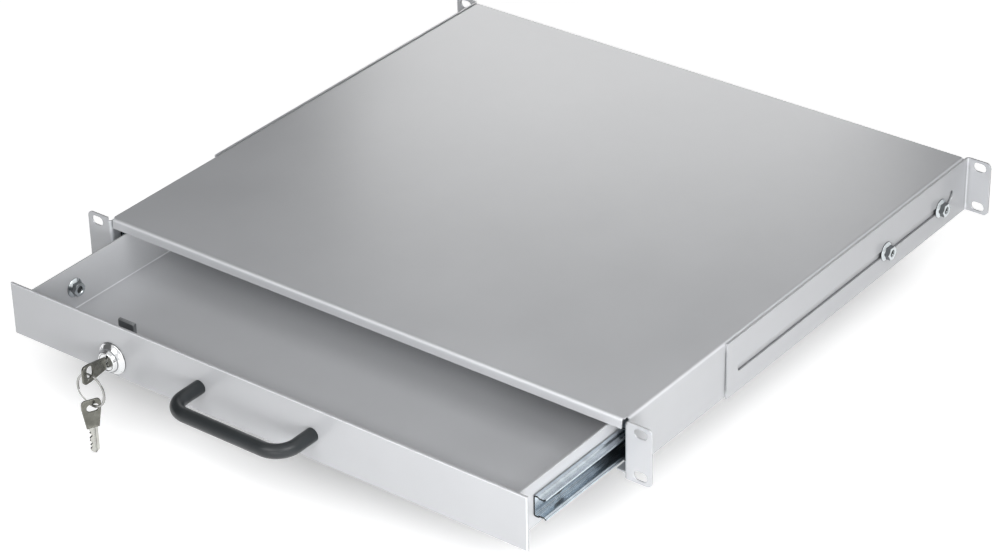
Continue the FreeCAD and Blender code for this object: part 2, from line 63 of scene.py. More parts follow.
# The part's lengths are in mm until a piece is made; the stage and its lamps are in metres
MM = 0.001
LEFT_AND_RIGHT = (("left", -1), ("right", 1))

# Camera, at the photograph's viewing angle; its reach is in metres
IMAGE_WIDTH = 993
SENSOR_WIDTH = 36.0
FOCAL_LENGTH_PIXELS = 3140.0
CAMERA_AZIMUTH = math.radians(37.8)
CAMERA_ELEVATION = math.radians(30.8)
CAMERA_ROLL = math.radians(-1.18)
CAMERA_DISTANCE = 2158.8
CAMERA_TARGET = Vector((27.8, 119.2, 1.0))
CAMERA_REACH = 50.0

# Colours of the finishes
PAINT_COLOUR = (0.53, 0.54, 0.56)
# the tray's coat is painted lighter than the case's, painted light for the light that bounces inside the
# tray
TRAY_LIT_COLOUR = (0.61, 0.62, 0.64)
ZINC_COLOUR = (0.60, 0.66, 0.71)
# nearly black colour of the zinc's faces turned along Y
Y_FACE_COLOUR = (0.05, 0.055, 0.06)
FASTENER_COLOUR = (0.60, 0.64, 0.66)
# studs painted near black, a painted shade for the dark bores of the nuts
STUD_SHADE_COLOUR = (0.12, 0.125, 0.13)
CHROME_COLOUR = (0.72, 0.73, 0.74)
BOW_COLOUR = (0.17, 0.17, 0.15)
BLADE_COLOUR = (0.50, 0.50, 0.47)
RING_COLOUR = (0.38, 0.38, 0.37)
DIE_CAST_COLOUR = (0.30, 0.31, 0.32)
BALL_COLOUR = (0.70, 0.70, 0.71)
BLACK_COLOUR = (0.014, 0.017, 0.019)
RUBBER_COLOUR = (0.020, 0.020, 0.021)
WHITE = (1.0, 1.0, 1.0)

# Painted highlights on bends and edges, painted shade in crevices and painted dark reflections on sides, as
# shares of a finish's own colour
BEND_HIGHLIGHT = 1.4
ZINC_EDGE_HIGHLIGHT = 1.6
CREVICE_SHADE = 0.10
ZINC_CREVICE_SHADE = 0.12
CHROME_SIDE_SHADE = 0.22
FASTENER_SIDE_SHADE = 0.38

# How much painted shade darkens the paint's crevices, in general and at the level of the brackets' slots
PAINT_SHADE = 0.15
SLOT_SHADE = 0.9
SLOT_ZONE = 14.0
SLOT_FADE = 18.0

# Drawn lines of the zinc: how their pattern is scaled, and the levels over which its roughness runs
DRAWN_SCALE = (1.0, 0.01, 1.0)
DRAWN_LEVELS = (0.2, 0.8)
ZINC_ROUGHNESS = (0.16, 0.30)

# Roughness of the rubber, and how far that of another metal varies, as shares of its own
RUBBER_ROUGHNESS = 0.7
SMOOTHER = 0.8
ROUGHER = 1.3

# Flange nuts and studs
NUT_FLATS = 9.2
NUT_FACE_SHARE = 0.97
NUT_FLANGE_EDGE = 0.7
NUT_FLANGE_HEIGHT = 2.0
NUT_FLANGE_FOOT = 0.15
NUT_FLANGE_ROUND = 0.2
NUT_CHAMFER = math.radians(30)
NUT_SEAT_RELIEF = 0.5
NUT_BORE_CHAMFER = 0.45
NUT_STEPS = 72
STUD_DIAMETER = 5.0
THREAD_PITCH = 0.8
THREAD_DEPTH = 0.25
BRACKET_NUTS = 2
TRAY_NUTS = 3

# Lock rosette: its rim as (distance in from the edge, height), its lip as (radius, depth below the top)
ROSETTE_RIM = ((2.5, 0.0), (0.15, 0.0), (0.0, 0.2), (0.0, 0.8), (0.3, 1.15), (0.9, 1.3))
ROSETTE_LIP = ((7.15, 0.5), (6.95, 0.15), (6.65, 0.0), (6.45, 0.0), (6.1, 0.3), (6.1, 2.2))
ROSETTE_FLANK_SAG = 0.35
ROSETTE_FLANK_STEPS = 8
ROSETTE_STEPS = 128

# Screws: node, head diameter, head height and shank diameter
SCREWS = (("handle_screws", 9.5, 3.2, 4.9), ("lock_screws", 5.6, 2.0, 3.0))
SCREW_TIP_SHARE = 0.7
SCREW_TIP_LENGTH = 0.5
SCREW_FOOT_INSET = 0.1
SCREW_FOOT_HEIGHT = 0.15
SCREW_STEPS = 48

# Screw heads: dome as shares of radius and height, cross recess as shares of the crown's radius
SCREW_DOME = ((1.0, 0.45), (0.94, 0.72), (0.80, 0.93), (0.62, 1.0))
RECESS_MOUTH = (0.78, 0.20)
RECESS_FLOOR = (0.45, 0.12)
RECESS_FLOOR_LEVEL = 0.35

# Lock cover; its rivets' dome is (share of radius, height), and their top (radius, height)
COVER_CORNER = 2.0
COVER_FOOT = 0.2
COVER_EDGE = 0.25
COVER_MARGIN = 4.6
COVER_OVERLAP = 0.1
COVER_SLOPE = 0.5
COVER_RISE = 0.5
RIVET_INSET = 2.6
RIVET_RADIUS = 1.4
RIVET_DOME = ((1.0, -0.1), (1.0, 0.1), (0.85, 0.4), (0.5, 0.62))
RIVET_TOP = (0.05, 0.7)
RIVET_STEPS = 24

# Slide stops: nose and groove as (depth, distance along), and the grooves' places as shares of the length
STOP_CORNER = 1.5
STOP_NOSE = ((0.8, 0.0), (0.2, 0.25), (0.0, 0.7))
STOP_GROOVE = ((0.0, -0.4), (0.5, -0.2), (0.5, 0.2), (0.0, 0.4))
STOP_GROOVE_PLACES = (0.35, 0.65)
STOP_EDGE = 0.3

# Outlines: steps round a corner, and a limit on how far a sharp point moves when one is drawn in
CORNER_STEPS = 6
LEAST_SPREAD = 0.35

# Key bows; the rim and the hole's mouth are (distance in from the outline, drop from the face)
KEY_THICKNESS = 1.8
KEY_BOW_LENGTH = 22.0
KEY_BOW_WIDTH = 14.0
KEY_BOW_CORNER = 3.0
KEY_BOW_STEPS = 8
KEY_NECK_WIDTH = 9.0
KEY_HOLE_PLACE = 15.5
KEY_HOLE_WIDTH = 5.0
KEY_HOLE_LOW = -3.2
KEY_HOLE_HIGH = 5.2
KEY_HOLE_STEPS = 12
KEY_RIM = ((0.0, 0.25), (0.25, 0.0), (1.0, 0.0), (1.2, 0.18))
KEY_MOUTH = ((-0.2, 0.6), (-0.5, 0.18))
SPARE_KEY_TURN = math.radians(-25)

# Key blades
KEY_BLADE_LENGTH = 20.0
KEY_BLADE_HEIGHT = 6.2
KEY_BLADE_TIP = 2.2
KEY_BLADE_TIP_HEIGHT = 0.02
KEY_BLADE_BEVEL = 0.15
KEY_BLADE_OVERLAP = 0.3
KEY_BLADE_STEPS = 72
KEY_GROOVE_WIDTH = 1.3
KEY_GROOVE_DEPTH = 0.45
KEY_GROOVE_LEVEL = 0.6
KEY_GROOVE_SLOPE = 0.2
KEY_CUTS = (1.1, 2.0, 0.7, 1.6, 1.2)
KEY_CUT_PITCH = 3.0
KEY_CUT_FLAT = 0.35
KEY_CUT_SLOPE = 1.2

# Key ring
RING_TURNS = 2
RING_SLOPE = 0.4
RING_EDGE = 0.28
RING_STEP_START = math.radians(200)
RING_STEP_LENGTH = math.radians(40)
RING_GAP = math.radians(4)
RING_PITCH_SHARE = 0.98
RING_WIRE_SHARE = 0.97
RING_STEPS = 240

# Floor, with a painted soft shadow of the part, and world
FLOOR_GAP = 0.002
FLOOR_SIZE = 14.0
FLOOR_COLOUR = (0.80, 0.80, 0.80)
FLOOR_ROUGHNESS = 0.9
FLOOR_GLOW = 0.70
FLOOR_SHADE = 0.15
FLOOR_SHADE_REACH = 0.15
FLOOR_SHADE_FULL = 0.40
FLOOR_SHADE_NONE = 0.82
FLOOR_LIGHT_WAY = (0.60, -0.45, 0.60)
AMBIENT = 0.07

# Dark cards: name, start and end as (x, y), lowest and highest level, and glow
FLAG_COLOUR = (0.01, 0.01, 0.01)
FLAGS = (
    ("left_flag", (-1.3, -1.8), (-1.3, 0.5), (0.0, 2.2), 0.16),
    ("back_flag", (-7.1, 3.1), (-0.5, 7.7), (0.0, 7.0), 0.0),
    ("high_flag", (-2.0, -1.2), (-0.2, -1.9), (1.9, 3.2), 0.16),
)

# Soft lamps: name, place, aim, size, radiance, and whether shiny faces show them
SOFTBOXES = (
    ("back_softbox", (-3.17, 4.83, 2.27), (0.0, 0.3, 0.0), (1.5, 1.70), 4.35, True),
    ("high_front_softbox", (0.0, -1.6, 1.6), (0.0, -0.1, 0.0), (1.2, 1.0), 3.5, True),
    ("high_right_softbox", (1.5, -0.3, 1.6), (0.0, -0.1, 0.0), (1.2, 1.0), 3.8, True),
    ("low_front_softbox", (0.9, -2.0, 0.35), (0.2, -0.1, 0.0), (0.8, 0.5), 4.6, True),
    ("low_right_softbox", (1.12, -0.65, 0.15), (0.2, 0.0, 0.0), (0.5, 0.45), 13.5, False),
    ("drawer_softbox", (0.3, -0.5, 0.4), (0.1, -0.08, 0.0), (0.35, 0.2), 4.4, False),
    ("left_fill", (-2.4, -0.2, 0.12), (0.0, 0.1, 0.0), (1.0, 0.3), 14.0, False),
    ("rear_fill", (0.3, 2.8, 0.12), (0.0, 0.2, 0.0), (1.0, 0.3), 14.0, False),
)


# Node helpers
def colour(rgb, factor=1.0):
    return (*[min(1.0, channel * factor) for channel in rgb], 1.0)


def feed(tree, socket, value):
    """Sets a socket to a plain value, or links another node's output to it."""
    if isinstance(value, bpy.types.NodeSocket):
        tree.links.new(value, socket)
    else:
        socket.default_value = value


def add_node(tree, kind, inputs=None, **settings):
    made = tree.nodes.new(kind)
    for name, value in settings.items():
        setattr(made, name, value)
    for name, value in (inputs or {}).items():
        feed(tree, made.inputs[name], value)
    return made


def calculate(tree, operation, first, second=0.0, **settings):
    made = add_node(tree, "ShaderNodeMath", {0: first, 1: second}, operation=operation, **settings)
    return made.outputs[0]


def map_range(tree, value, low, high, to_low, to_high):
    inputs = {"Value": value, "From Min": low, "From Max": high, "To Min": to_low, "To Max": to_high}
    return add_node(tree, "ShaderNodeMapRange", inputs).outputs["Result"]


def ramp(tree, value, zero_at, one_at):
    return map_range(tree, value, zero_at, one_at, 0.0, 1.0)


def mix_colours(tree, factor, first, second):
    made = add_node(tree, "ShaderNodeMix", data_type="RGBA")
    sockets = {socket.identifier: socket for socket in made.inputs}
    feed(tree, sockets["Factor_Float"], factor)
    feed(tree, sockets["A_Color"], first)
    feed(tree, sockets["B_Color"], second)
    return next(socket for socket in made.outputs if socket.identifier == "Result_Color")


def new_group(name, inputs, outputs):
    """A shader node group with value inputs (name: default) and outputs (name: socket type)."""
    group = bpy.data.node_groups.new(name, "ShaderNodeTree")
    for socket, default in inputs.items():
        made = group.interface.new_socket(socket, in_out="INPUT", socket_type="NodeSocketFloat")
        made.default_value = default
    for socket, kind in outputs.items():
        group.interface.new_socket(socket, in_out="OUTPUT", socket_type=kind)
    return group, group.nodes.new("NodeGroupInput").outputs, group.nodes.new("NodeGroupOutput").inputs


def use_group(tree, group, **values):
    made = tree.nodes.new("ShaderNodeGroup")
    made.node_tree = group
    for name, value in values.items():
        feed(tree, made.inputs[name], value)
    return made.outputs


def noise(tree, place, scale, detail=3.0, roughness=0.55):
    inputs = {"Vector": place, "Scale": scale, "Detail": detail, "Roughness": roughness}
    return add_node(tree, "ShaderNodeTexNoise", inputs).outputs["Fac"]


def surface_place(tree):
    return add_node(tree, "ShaderNodeTexCoord").outputs["Object"]


# Effects that several finishes share
def make_mottle_group():
    """Broad, faint unevenness of a coat or a plate, 0 to 1; Size is in mm."""
    group, given, result = new_group("mottle", {"Size": 40.0}, {"Value": "NodeSocketFloat"})
    scale = calculate(group, "DIVIDE", 1.0 / MM, given["Size"])
    clouds = noise(group, surface_place(group), scale, detail=4.0)
    group.links.new(ramp(group, clouds, zero_at=0.3, one_at=0.7), result["Value"])
    return group


def make_grain_group():
    """Fine unevenness of a surface as a height, 0 to 1; Size is in mm."""
    group, given, result = new_group("grain", {"Size": 0.8}, {"Height": "NodeSocketFloat"})
    scale = calculate(group, "DIVIDE", 1.0 / MM, given["Size"])
    group.links.new(noise(group, surface_place(group), scale, roughness=0.6), result["Height"])
    return group


def make_edge_group():
    """Where a surface turns sharply, 0 to 1, and its normal rounded there; Width is in mm."""
    outputs = {"Mask": "NodeSocketFloat", "Normal": "NodeSocketVector"}
    group, given, result = new_group("soft_edges", {"Width": 0.4, "Gain": 3.0}, outputs)
    radius = calculate(group, "MULTIPLY", given["Width"], MM)
    rounded = add_node(group, "ShaderNodeBevel", {"Radius": radius}, samples=6).outputs["Normal"]
    flat = add_node(group, "ShaderNodeNewGeometry").outputs["Normal"]
    product = add_node(group, "ShaderNodeVectorMath", {0: rounded, 1: flat}, operation="DOT_PRODUCT")
    turned = calculate(group, "SUBTRACT", 1.0, product.outputs["Value"])
    mask = calculate(group, "MULTIPLY", turned, given["Gain"], use_clamp=True)
    group.links.new(mask, result["Mask"])
    group.links.new(rounded, result["Normal"])
    return group


def make_drawn_group():
    """Fine lines that rolling or drawing leaves along Y, 0 to 1; Pitch is in mm."""
    group, given, result = new_group("drawn_lines", {"Pitch": 0.5}, {"Value": "NodeSocketFloat"})
    scale = calculate(group, "DIVIDE", 1.0 / MM, given["Pitch"])
    stretch = {"Vector": surface_place(group), "Scale": DRAWN_SCALE}
    place = add_node(group, "ShaderNodeMapping", stretch).outputs["Vector"]
    group.links.new(noise(group, place, scale, detail=2.0), result["Value"])
    return group


def make_crevice_group():
    """Where a surface is close to another, 0 to 1, used as a mask for painted shade; Reach is in mm."""
    group, given, result = new_group("crevices", {"Reach": 2.0}, {"Mask": "NodeSocketFloat"})
    reach = calculate(group, "MULTIPLY", given["Reach"], MM)
    open_sky = add_node(group, "ShaderNodeAmbientOcclusion", {"Distance": reach}, samples=8).outputs["AO"]
    group.links.new(ramp(group, open_sky, zero_at=0.9, one_at=0.2), result["Mask"])
    return group


def make_facing_group():
    """How squarely a face looks along the part's X and Y, and where it lies on a bend, 0 to 1."""
    outputs = dict.fromkeys(("X", "Y", "Bend"), "NodeSocketFloat")
    group, _, result = new_group("facing", {}, outputs)
    normal = add_node(group, "ShaderNodeTexCoord").outputs["Normal"]
    size = add_node(group, "ShaderNodeVectorMath", {0: normal}, operation="ABSOLUTE").outputs["Vector"]
    parts = add_node(group, "ShaderNodeSeparateXYZ", {"Vector": size}).outputs
    largest = calculate(group, "MAXIMUM", calculate(group, "MAXIMUM", parts["X"], parts["Y"]), parts["Z"])
    group.links.new(parts["X"], result["X"])
    group.links.new(parts["Y"], result["Y"])
    group.links.new(ramp(group, largest, zero_at=0.97, one_at=0.80), result["Bend"])
    return group


def make_slot_level_group():
    """Where a face lies at the level of the brackets' slots, 0 to 1."""
    group, _, result = new_group("slot_level", {}, {"Mask": "NodeSocketFloat"})
    level = add_node(group, "ShaderNodeSeparateXYZ", {"Vector": surface_place(group)}).outputs["Z"]
    away = calculate(group, "ABSOLUTE", level)
    mask = ramp(group, away, zero_at=SLOT_FADE * MM, one_at=SLOT_ZONE * MM)
    group.links.new(mask, result["Mask"])
    return group


MOTTLE = make_mottle_group()
GRAIN = make_grain_group()
SOFT_EDGES = make_edge_group()
DRAWN_LINES = make_drawn_group()
CREVICES = make_crevice_group()
FACING = make_facing_group()
SLOT_LEVEL = make_slot_level_group()


# Finishes
def new_finish(name):
    made = bpy.data.materials.new(name)
    made.use_nodes = True
    tree = made.node_tree
    return made, tree, tree.nodes["Principled BSDF"].inputs


def clouded(tree, rgb, size, dark, light):
    """A mottle of that size in mm, and the colour between its dark and its light share."""
    mottle = use_group(tree, MOTTLE, Size=size)["Value"]
    return mottle, mix_colours(tree, mottle, colour(rgb, dark), colour(rgb, light))


def uneven_roughness(tree, shader, mottle, at_dark, at_light):
    tree.links.new(map_range(tree, mottle, 0.0, 1.0, at_dark, at_light), shader["Roughness"])


def relief(tree, shader, height, normal, depth):
    """Feeds a height of 0 to 1 to the shader as a bump of that depth in mm."""
    made = add_node(tree, "ShaderNodeBump", {"Height": height, "Distance": depth * MM, "Normal": normal})
    tree.links.new(made.outputs["Normal"], shader["Normal"])


def grain_relief(tree, shader, normal, size, depth):
    relief(tree, shader, use_group(tree, GRAIN, Size=size)["Height"], normal, depth)


def make_powder_coat(name, slot_shade, rgb=PAINT_COLOUR):
    """Light grey satin coat with a faint orange peel: painted highlights along bends and edges, painted
    shade in crevices, deepest in slots.
    """
    made, tree, shader = new_finish(name)
    mottle, tone = clouded(tree, rgb, size=70.0, dark=0.98, light=1.02)
    edges = use_group(tree, SOFT_EDGES, Width=0.5, Gain=1.2)
    # painted highlight along sharp edges and along bends
    for mask in (edges["Mask"], use_group(tree, FACING)["Bend"]):
        tone = mix_colours(tree, mask, tone, colour(rgb, BEND_HIGHLIGHT))
    # painted shade in crevices, deeper at the level of the brackets' slots
    shade = map_range(tree, use_group(tree, SLOT_LEVEL)["Mask"], 0.0, 1.0, PAINT_SHADE, slot_shade)
    crevices = calculate(tree, "MULTIPLY", use_group(tree, CREVICES, Reach=4.0)["Mask"], shade)
    tree.links.new(mix_colours(tree, crevices, tone, colour(rgb, CREVICE_SHADE)), shader["Base Color"])
    uneven_roughness(tree, shader, mottle, at_dark=0.17, at_light=0.20)
    grain_relief(tree, shader, edges["Normal"], size=1.1, depth=0.006)
    return made


def make_zinc():
    """Bright zinc plate on rolled steel, with drawn lines, a cloudy bluish tone, painted highlights on
    edges, painted shade in crevices and nearly black faces turned along Y.
    """
    made, tree, shader = new_finish("zinc_plate")
    shader["Metallic"].default_value = 1.0
    lines = use_group(tree, DRAWN_LINES, Pitch=0.45)["Value"]
    _, tone = clouded(tree, ZINC_COLOUR, size=9.0, dark=0.85, light=1.10)
    edges = use_group(tree, SOFT_EDGES, Width=0.3, Gain=1.5)
    # painted highlight along the zinc's edges
    tone = mix_colours(tree, edges["Mask"], tone, colour(ZINC_COLOUR, ZINC_EDGE_HIGHLIGHT))
    crevices = use_group(tree, CREVICES, Reach=1.4)["Mask"]
    # painted shade in the zinc's crevices
    tone = mix_colours(tree, crevices, tone, colour(ZINC_COLOUR, ZINC_CREVICE_SHADE))
    # faces of the zinc turned along Y are painted nearly black
    turned_along_y = ramp(tree, use_group(tree, FACING)["Y"], zero_at=0.90, one_at=0.98)
    tree.links.new(mix_colours(tree, turned_along_y, tone, colour(Y_FACE_COLOUR)), shader["Base Color"])
    tree.links.new(map_range(tree, lines, *DRAWN_LEVELS, *ZINC_ROUGHNESS), shader["Roughness"])
    relief(tree, shader, lines, edges["Normal"], depth=0.004)
    return made


# edge is a painted highlight along edges and side_shade a painted dark reflection on sides, as shares of the
# colour
def make_metal(name, rgb, roughness, grain_size, grain_depth, cloud,
               edge=1.9, reach=1.5, axis=None, side_shade=1.0):
    """A metal finish: clouded tone, fine grain, painted highlights on edges, painted shade in crevices,
    painted dark reflections on sides about an axis.
    """
    made, tree, shader = new_finish(name)
    shader["Metallic"].default_value = 1.0
    mottle, tone = clouded(tree, rgb, size=6.0, dark=1.0 - cloud, light=1.0 + cloud)
    edges = use_group(tree, SOFT_EDGES, Width=0.25, Gain=1.5)
    # painted highlight along edges
    tone = mix_colours(tree, edges["Mask"], tone, colour(rgb, edge))
    if axis:
        # painted dark reflection on faces turned away from the axis
        side = ramp(tree, use_group(tree, FACING)[axis], zero_at=0.45, one_at=0.15)
        tone = mix_colours(tree, side, tone, colour(rgb, side_shade))
    # painted shade in crevices
    crevices = use_group(tree, CREVICES, Reach=reach)["Mask"]
    tree.links.new(mix_colours(tree, crevices, tone, colour(rgb, CREVICE_SHADE)), shader["Base Color"])
    uneven_roughness(tree, shader, mottle, at_dark=roughness * SMOOTHER, at_light=roughness * ROUGHER)
    grain_relief(tree, shader, edges["Normal"], grain_size, grain_depth)
    return made


def make_black_coat():
    """Matt black coat on the handle's rod: fine grain, and a little smoother in patches."""
    made, tree, shader = new_finish("black_coat")
    mottle, tone = clouded(tree, BLACK_COLOUR, size=18.0, dark=0.85, light=1.35)
    tree.links.new(tone, shader["Base Color"])
    uneven_roughness(tree, shader, mottle, at_dark=0.38, at_light=0.30)
    edges = use_group(tree, SOFT_EDGES, Width=0.3, Gain=1.0)
    grain_relief(tree, shader, edges["Normal"], size=0.5, depth=0.02)
    return made


def make_rubber():
    """Dull black rubber of the slides' stops."""
    made, tree, shader = new_finish("rubber")
    _, tone = clouded(tree, RUBBER_COLOUR, size=3.0, dark=0.8, light=1.4)
    tree.links.new(tone, shader["Base Color"])
    shader["Roughness"].default_value = RUBBER_ROUGHNESS
    edges = use_group(tree, SOFT_EDGES, Width=0.5, Gain=1.0)
    grain_relief(tree, shader, edges["Normal"], size=0.4, depth=0.03)
    return made


def make_slot_finishes():
    """The usual finish of each material slot."""
    return {
        "grey_powder_coat": make_powder_coat("powder_coat", PAINT_SHADE),
        "zinc_steel": make_zinc(),
        # chrome carries a painted dark reflection on its sides about Y
        "chrome": make_metal("chrome_plate", CHROME_COLOUR, roughness=0.14, grain_size=0.6,
                             grain_depth=0.0004, cloud=0.02, reach=2.5, axis="Y", side_shade=CHROME_SIDE_SHADE),
        # the key bow's edges carry a strong painted highlight
        "nickel": make_metal("nickel_bow", BOW_COLOUR, roughness=0.24, grain_size=0.5,
                             grain_depth=0.004, cloud=0.25, edge=4.0),
        "die_cast": make_metal("die_cast_zinc", DIE_CAST_COLOUR, roughness=0.45, grain_size=0.5,
                               grain_depth=0.01, cloud=0.10),
        "ball_steel": make_metal("ball_steel", BALL_COLOUR, roughness=0.08, grain_size=0.6,
                                 grain_depth=0.0004, cloud=0.02),
        "black_coat": make_black_coat(),
        "rubber": make_rubber(),
    }


def make_node_finishes():
    """Finishes of the nodes that look different from the rest of their slot."""
    # a copy of the powder coat with deeper painted shade at the level of the brackets' slots
    slot_shaded = make_powder_coat("slot_shaded_powder_coat", SLOT_SHADE)
    # a lighter copy of the powder coat, painted light inside the tray
    tray = make_powder_coat("tray_lit_powder_coat", PAINT_SHADE, TRAY_LIT_COLOUR)
    # the ring's edges carry a painted highlight
    ring = make_metal("ring_steel", RING_COLOUR, roughness=0.12, grain_size=0.5,
                      grain_depth=0.001, cloud=0.10, edge=2.6)
    # the nuts carry painted edge highlights and a painted dark reflection on their sides
    fastener = make_metal("zinc_fastener", FASTENER_COLOUR, roughness=0.16, grain_size=0.5,
                          grain_depth=0.003, cloud=0.15, edge=1.8, reach=3.0, axis="X",
                          side_shade=FASTENER_SIDE_SHADE)
    # near-black studs, painted shade in the nuts' bores
    stud = make_metal("shaded_stud", STUD_SHADE_COLOUR, roughness=0.30, grain_size=0.4,
                      grain_depth=0.01, cloud=0.20, reach=4.0)
    finishes = {"key_ring": ring, "case_shell": slot_shaded, "tray": tray, "tray_rear": tray}
    for side, _ in LEFT_AND_RIGHT:
        finishes["extension_bracket_" + side] = slot_shaded
        for kind in ("bracket", "tray"):
            finishes[kind + "_nuts_" + side] = fastener
            finishes[kind + "_studs_" + side] = stud
    return finishes


SLOT_FINISHES = make_slot_finishes()
NODE_FINISHES = make_node_finishes()
BLADE_FINISH = make_metal("nickel_blade", BLADE_COLOUR, roughness=0.15, grain_size=0.5,
                          grain_depth=0.002, cloud=0.10)
SLOT_OF = {row["node"]: row["material_slot"] for row in frame["record"]["subparts"]}
BODY_OF = {node: body for body, nodes in frame["record"]["behaviour"]["bodies"].items() for node in nodes}


def finish_of(node):
    return NODE_FINISHES.get(node, SLOT_FINISHES[SLOT_OF[node]])


def dress_cad_nodes():
    for name, piece in cad.items():
        piece.data.materials.clear()
        piece.data.materials.append(finish_of(name))


# Mesh helpers
def node_box(node):
    """Lowest and highest corner of a CAD node, in mm."""
    low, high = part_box(node)
    return Vector(low) / MM, Vector(high) / MM


def facing(origin, way):
    """A place at origin whose Z points way."""
    return Matrix.Translation(origin) @ Vector(way).to_track_quat("Z", "Y").to_matrix().to_4x4()


def join_rings(shape, first, second):
    for i in range(len(first)):
        j = (i + 1) % len(first)
        shape.faces.new((first[i], first[j], second[j], second[i]))


def skin(shape, rings, capped=False):
    """Joins each ring to the next and, where capped, closes both ends."""
    for first, second in zip(rings, rings[1:]):
        join_rings(shape, first, second)
    if capped:
        shape.faces.new(rings[0])
        shape.faces.new(rings[-1])


def at_turn(value, turn):
    return value(turn) if callable(value) else value


def lathe(shape, place, profile, steps, capped=False):
    """Turns a profile of (radius, height) about the place's Z. Either may be a function of the turn."""
    rings = []
    for radius, height in profile:
        ring = []
        for i in range(steps):
            turn = 2 * math.pi * i / steps
            out = at_turn(radius, turn)
            point = Vector((out * math.cos(turn), out * math.sin(turn), at_turn(height, turn)))
            ring.append(shape.verts.new(place @ point))
        rings.append(ring)
    skin(shape, rings, capped)
    return rings


def add_loop(shape, place, points, height):
    return [shape.verts.new(place @ Vector((a, b, height))) for a, b in points]


def fill_between(shape, *loops):
    """Closes the flat area between outlines that lie in one plane."""
    edges = [shape.edges.get((loop[i - 1], loop[i])) for loop in loops for i in range(len(loop))]
    bmesh.ops.triangle_fill(shape, use_beauty=True, use_dissolve=False, edges=edges)


def inset(points, amount):
    """A closed outline drawn in by amount; negative widens it."""
    area = sum(a[0] * b[1] - b[0] * a[1] for a, b in zip(points, points[1:] + points[:1]))
    sign = 1 if area > 0 else -1
    result = []
    for i, (a, b) in enumerate(points):
        before = Vector(points[i - 1])
        after = Vector(points[(i + 1) % len(points)])
        here = Vector((a, b))
        first, second = (here - before).normalized(), (after - here).normalized()
        normal = Vector((-first.y - second.y, first.x + second.x)) * sign
        spread = max(LEAST_SPREAD, 1 + first.dot(second))
        moved = here + normal * (amount / spread)
        result.append((moved.x, moved.y))
    return result


def rounded_box(half_width, half_height, corner):
    points = []
    for i, (a, b) in enumerate(((1, 1), (-1, 1), (-1, -1), (1, -1))):
        for j in range(CORNER_STEPS + 1):
            turn = math.pi / 2 * (i + j / CORNER_STEPS)
            points.append((a * (half_width - corner) + corner * math.cos(turn),
                           b * (half_height - corner) + corner * math.sin(turn)))
    return points


def stack(shape, place, outline, layers, capped=False):
    """One outline drawn in by an amount at each height, joined from layer to layer."""
    loops = [add_loop(shape, place, inset(outline, amount), height) for amount, height in layers]
    skin(shape, loops, capped)
    return loops


def add_object(name, data):
    made = bpy.data.objects.new(name, data)
    bpy.context.scene.collection.objects.link(made)
    return made


def add_piece(name, shape, node, smooth_below=35):
    """A piece that stands for a CAD node, in its finish and on its body; smooth_below is in degrees."""
    bmesh.ops.scale(shape, vec=(MM, MM, MM), verts=shape.verts)
    bmesh.ops.recalc_face_normals(shape, faces=shape.faces)
    mesh = bpy.data.meshes.new(name)
    shape.to_mesh(mesh)
    shape.free()
    mesh.shade_smooth()
    mesh.set_sharp_from_angle(angle=math.radians(smooth_below))
    mesh.materials.append(finish_of(node))
    piece = add_object(name, mesh)
    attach(piece, BODY_OF[node])
    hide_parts(node)
    return piece


# Flange nuts
def add_flange_nut(shape, seat, way, flange_radius, height):
    """A chamfered hexagon nut with a sloping flange and a threaded bore."""
    half_flats = NUT_FLATS / 2
    bore = STUD_DIAMETER / 2
    slope = (NUT_FLANGE_HEIGHT - NUT_FLANGE_EDGE) / (flange_radius - half_flats)
    face_radius = half_flats * NUT_FACE_SHARE

    def hexagon(turn):
        return half_flats / math.cos(turn % (math.pi / 3) - math.pi / 6)

    def flange_top(turn):
        return NUT_FLANGE_EDGE + (flange_radius - hexagon(turn)) * slope

    def chamfer(turn):
        return height - (hexagon(turn) - face_radius) * math.tan(NUT_CHAMFER)

    profile = [(bore + NUT_SEAT_RELIEF, 0.0),
               (flange_radius - NUT_FLANGE_FOOT, 0.0),
               (flange_radius, NUT_FLANGE_FOOT),
               (flange_radius, NUT_FLANGE_EDGE - NUT_FLANGE_ROUND),
               (flange_radius - NUT_FLANGE_ROUND, NUT_FLANGE_EDGE),
               (hexagon, flange_top),
               (hexagon, chamfer),
               (face_radius, height),
               (bore + NUT_BORE_CHAMFER, height)]
    for i in range(int(height / THREAD_PITCH)):
        level = height - NUT_BORE_CHAMFER - i * THREAD_PITCH
        profile += [(bore, level), (bore + THREAD_DEPTH, level - THREAD_PITCH / 2)]
    lathe(shape, facing(seat, way), profile, NUT_STEPS)


def make_nuts():
    for kind, count, way_in in (("bracket_nuts", BRACKET_NUTS, 1), ("tray_nuts", TRAY_NUTS, -1)):
        for side, sign in LEFT_AND_RIGHT:
            node = kind + "_" + side
            low, high = node_box(node)
            way = sign * way_in
            flange = (high.z - low.z) / 2
            seat = low.x if way > 0 else high.x
            level = (low.z + high.z) / 2
            shape = bmesh.new()
            for i in range(count):
                along = low.y + flange + (high.y - low.y - 2 * flange) * i / (count - 1)
                add_flange_nut(shape, Vector((seat, along, level)), (way, 0, 0), flange, high.x - low.x)
            add_piece(kind.replace("nuts", "flange_nuts") + "_" + side, shape, node)


